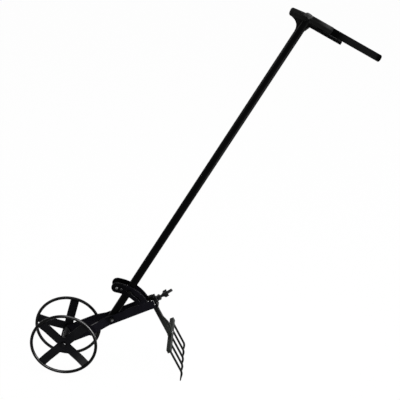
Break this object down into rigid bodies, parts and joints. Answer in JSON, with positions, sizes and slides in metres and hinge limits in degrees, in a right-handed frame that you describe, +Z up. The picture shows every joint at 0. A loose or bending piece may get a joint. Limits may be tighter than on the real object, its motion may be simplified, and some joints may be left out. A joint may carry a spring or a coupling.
{
  "type": "push weeder",
  "caption": "Wheeled push weeder: long tube handle with a T grip set at an angle by a slotted quadrant, open spoked wheels and a fork of bent pointed tines clamped in a socket",
  "frame": {"origin": "on the ground, at the centre of the bounding box's foot", "axes": "+Z up, +X rearwards towards the hand grip, +Y to the right wheel's side"},
  "size_m": [1.0718, 0.198, 1.2305],
  "materials": {
    "black_paint": "semi-gloss black enamel over mild steel",
    "zinc_fastener": "zinc plated, slightly dull",
    "tine_steel": "thin black paint, bare at the points",
    "bush_bronze": "sintered bronze, oiled",
    "grip_rubber": "smooth black grip sleeve"
  },
  "bodies": {
    "frame": {"axle_sleeve": "black_paint", "beam_plate_left": "black_paint", "beam_plate_right": "black_paint", "quadrant_plate_left": "black_paint", "quadrant_plate_right": "black_paint", "tool_socket": "black_paint", "axle_rod": "black_paint", "axle_washers": "zinc_fastener", "quadrant_bolt_front": "zinc_fastener", "quadrant_bolt_rear": "zinc_fastener", "quadrant_nut_front": "zinc_fastener", "quadrant_nut_rear": "zinc_fastener", "quadrant_spacer_front": "zinc_fastener", "quadrant_spacer_rear": "zinc_fastener", "pivot_bolt": "zinc_fastener", "pivot_nut": "zinc_fastener", "pivot_washers": "zinc_fastener", "weld_nut": "zinc_fastener"},
    "handle": {"handle_shaft": "black_paint", "shaft_cap": "black_paint", "pivot_bush": "bush_bronze", "lock_washers": "zinc_fastener", "lock_bolt": "zinc_fastener", "lock_nut": "zinc_fastener", "stub_tube": "black_paint", "stub_cap": "black_paint", "arm_sleeve": "black_paint", "arm_tube": "zinc_fastener", "hand_grip": "grip_rubber", "arm_brace": "black_paint", "stub_gusset": "black_paint"},
    "wheel_left": {"wheel_rim_left": "black_paint", "wheel_spokes_left": "black_paint", "wheel_hub_left": "black_paint", "hub_bushes_left": "bush_bronze"},
    "wheel_right": {"wheel_rim_right": "black_paint", "wheel_spokes_right": "black_paint", "wheel_hub_right": "black_paint", "hub_bushes_right": "bush_bronze"},
    "fork": {"fork_shank": "black_paint", "fork_bar": "black_paint", "fork_rib": "black_paint", "tine_1": "tine_steel", "tine_2": "tine_steel", "tine_3": "tine_steel", "tine_4": "tine_steel", "tine_5": "tine_steel"},
    "clamp_screw": {"clamp_screw": "zinc_fastener", "jam_nut": "zinc_fastener"},
    "wing_head": {"wing_head": "zinc_fastener"}
  },
  "joints": [
    {"name": "wheel_left_spin", "type": "hinge", "parent": "frame", "child": "wheel_left", "pos_m": [-0.42694, -0.06, 0.109], "axis": [0, 1, 0], "continuous": true},
    {"name": "wheel_right_spin", "type": "hinge", "parent": "frame", "child": "wheel_right", "pos_m": [-0.42694, 0.06, 0.109], "axis": [0, 1, 0], "continuous": true},
    {"name": "handle_tilt", "type": "hinge", "parent": "frame", "child": "handle", "pos_m": [-0.27438, 0, 0.18411], "axis": [0, -1, 0], "range_deg": [-14, 4.5]},
    {"name": "fork_depth", "type": "slide", "parent": "frame", "child": "fork", "axis": [0.4226, 0, -0.9063], "range_m": [-0.015, 0.015]},
    {"name": "clamp_screw_travel", "type": "slide", "parent": "frame", "child": "clamp_screw", "axis": [0.8192, 0, 0.5736], "range_m": [0, 0.006]},
    {"name": "wing_turn", "type": "hinge", "parent": "clamp_screw", "child": "wing_head", "pos_m": [-0.09991, 0, 0.27348], "axis": [0.8192, 0, 0.5736], "range_deg": [0, 1440]}
  ],
  "couplings": [
    {"joint": "wing_turn", "follows": "clamp_screw_travel", "rad_per_m": 4188.8}
  ]
}
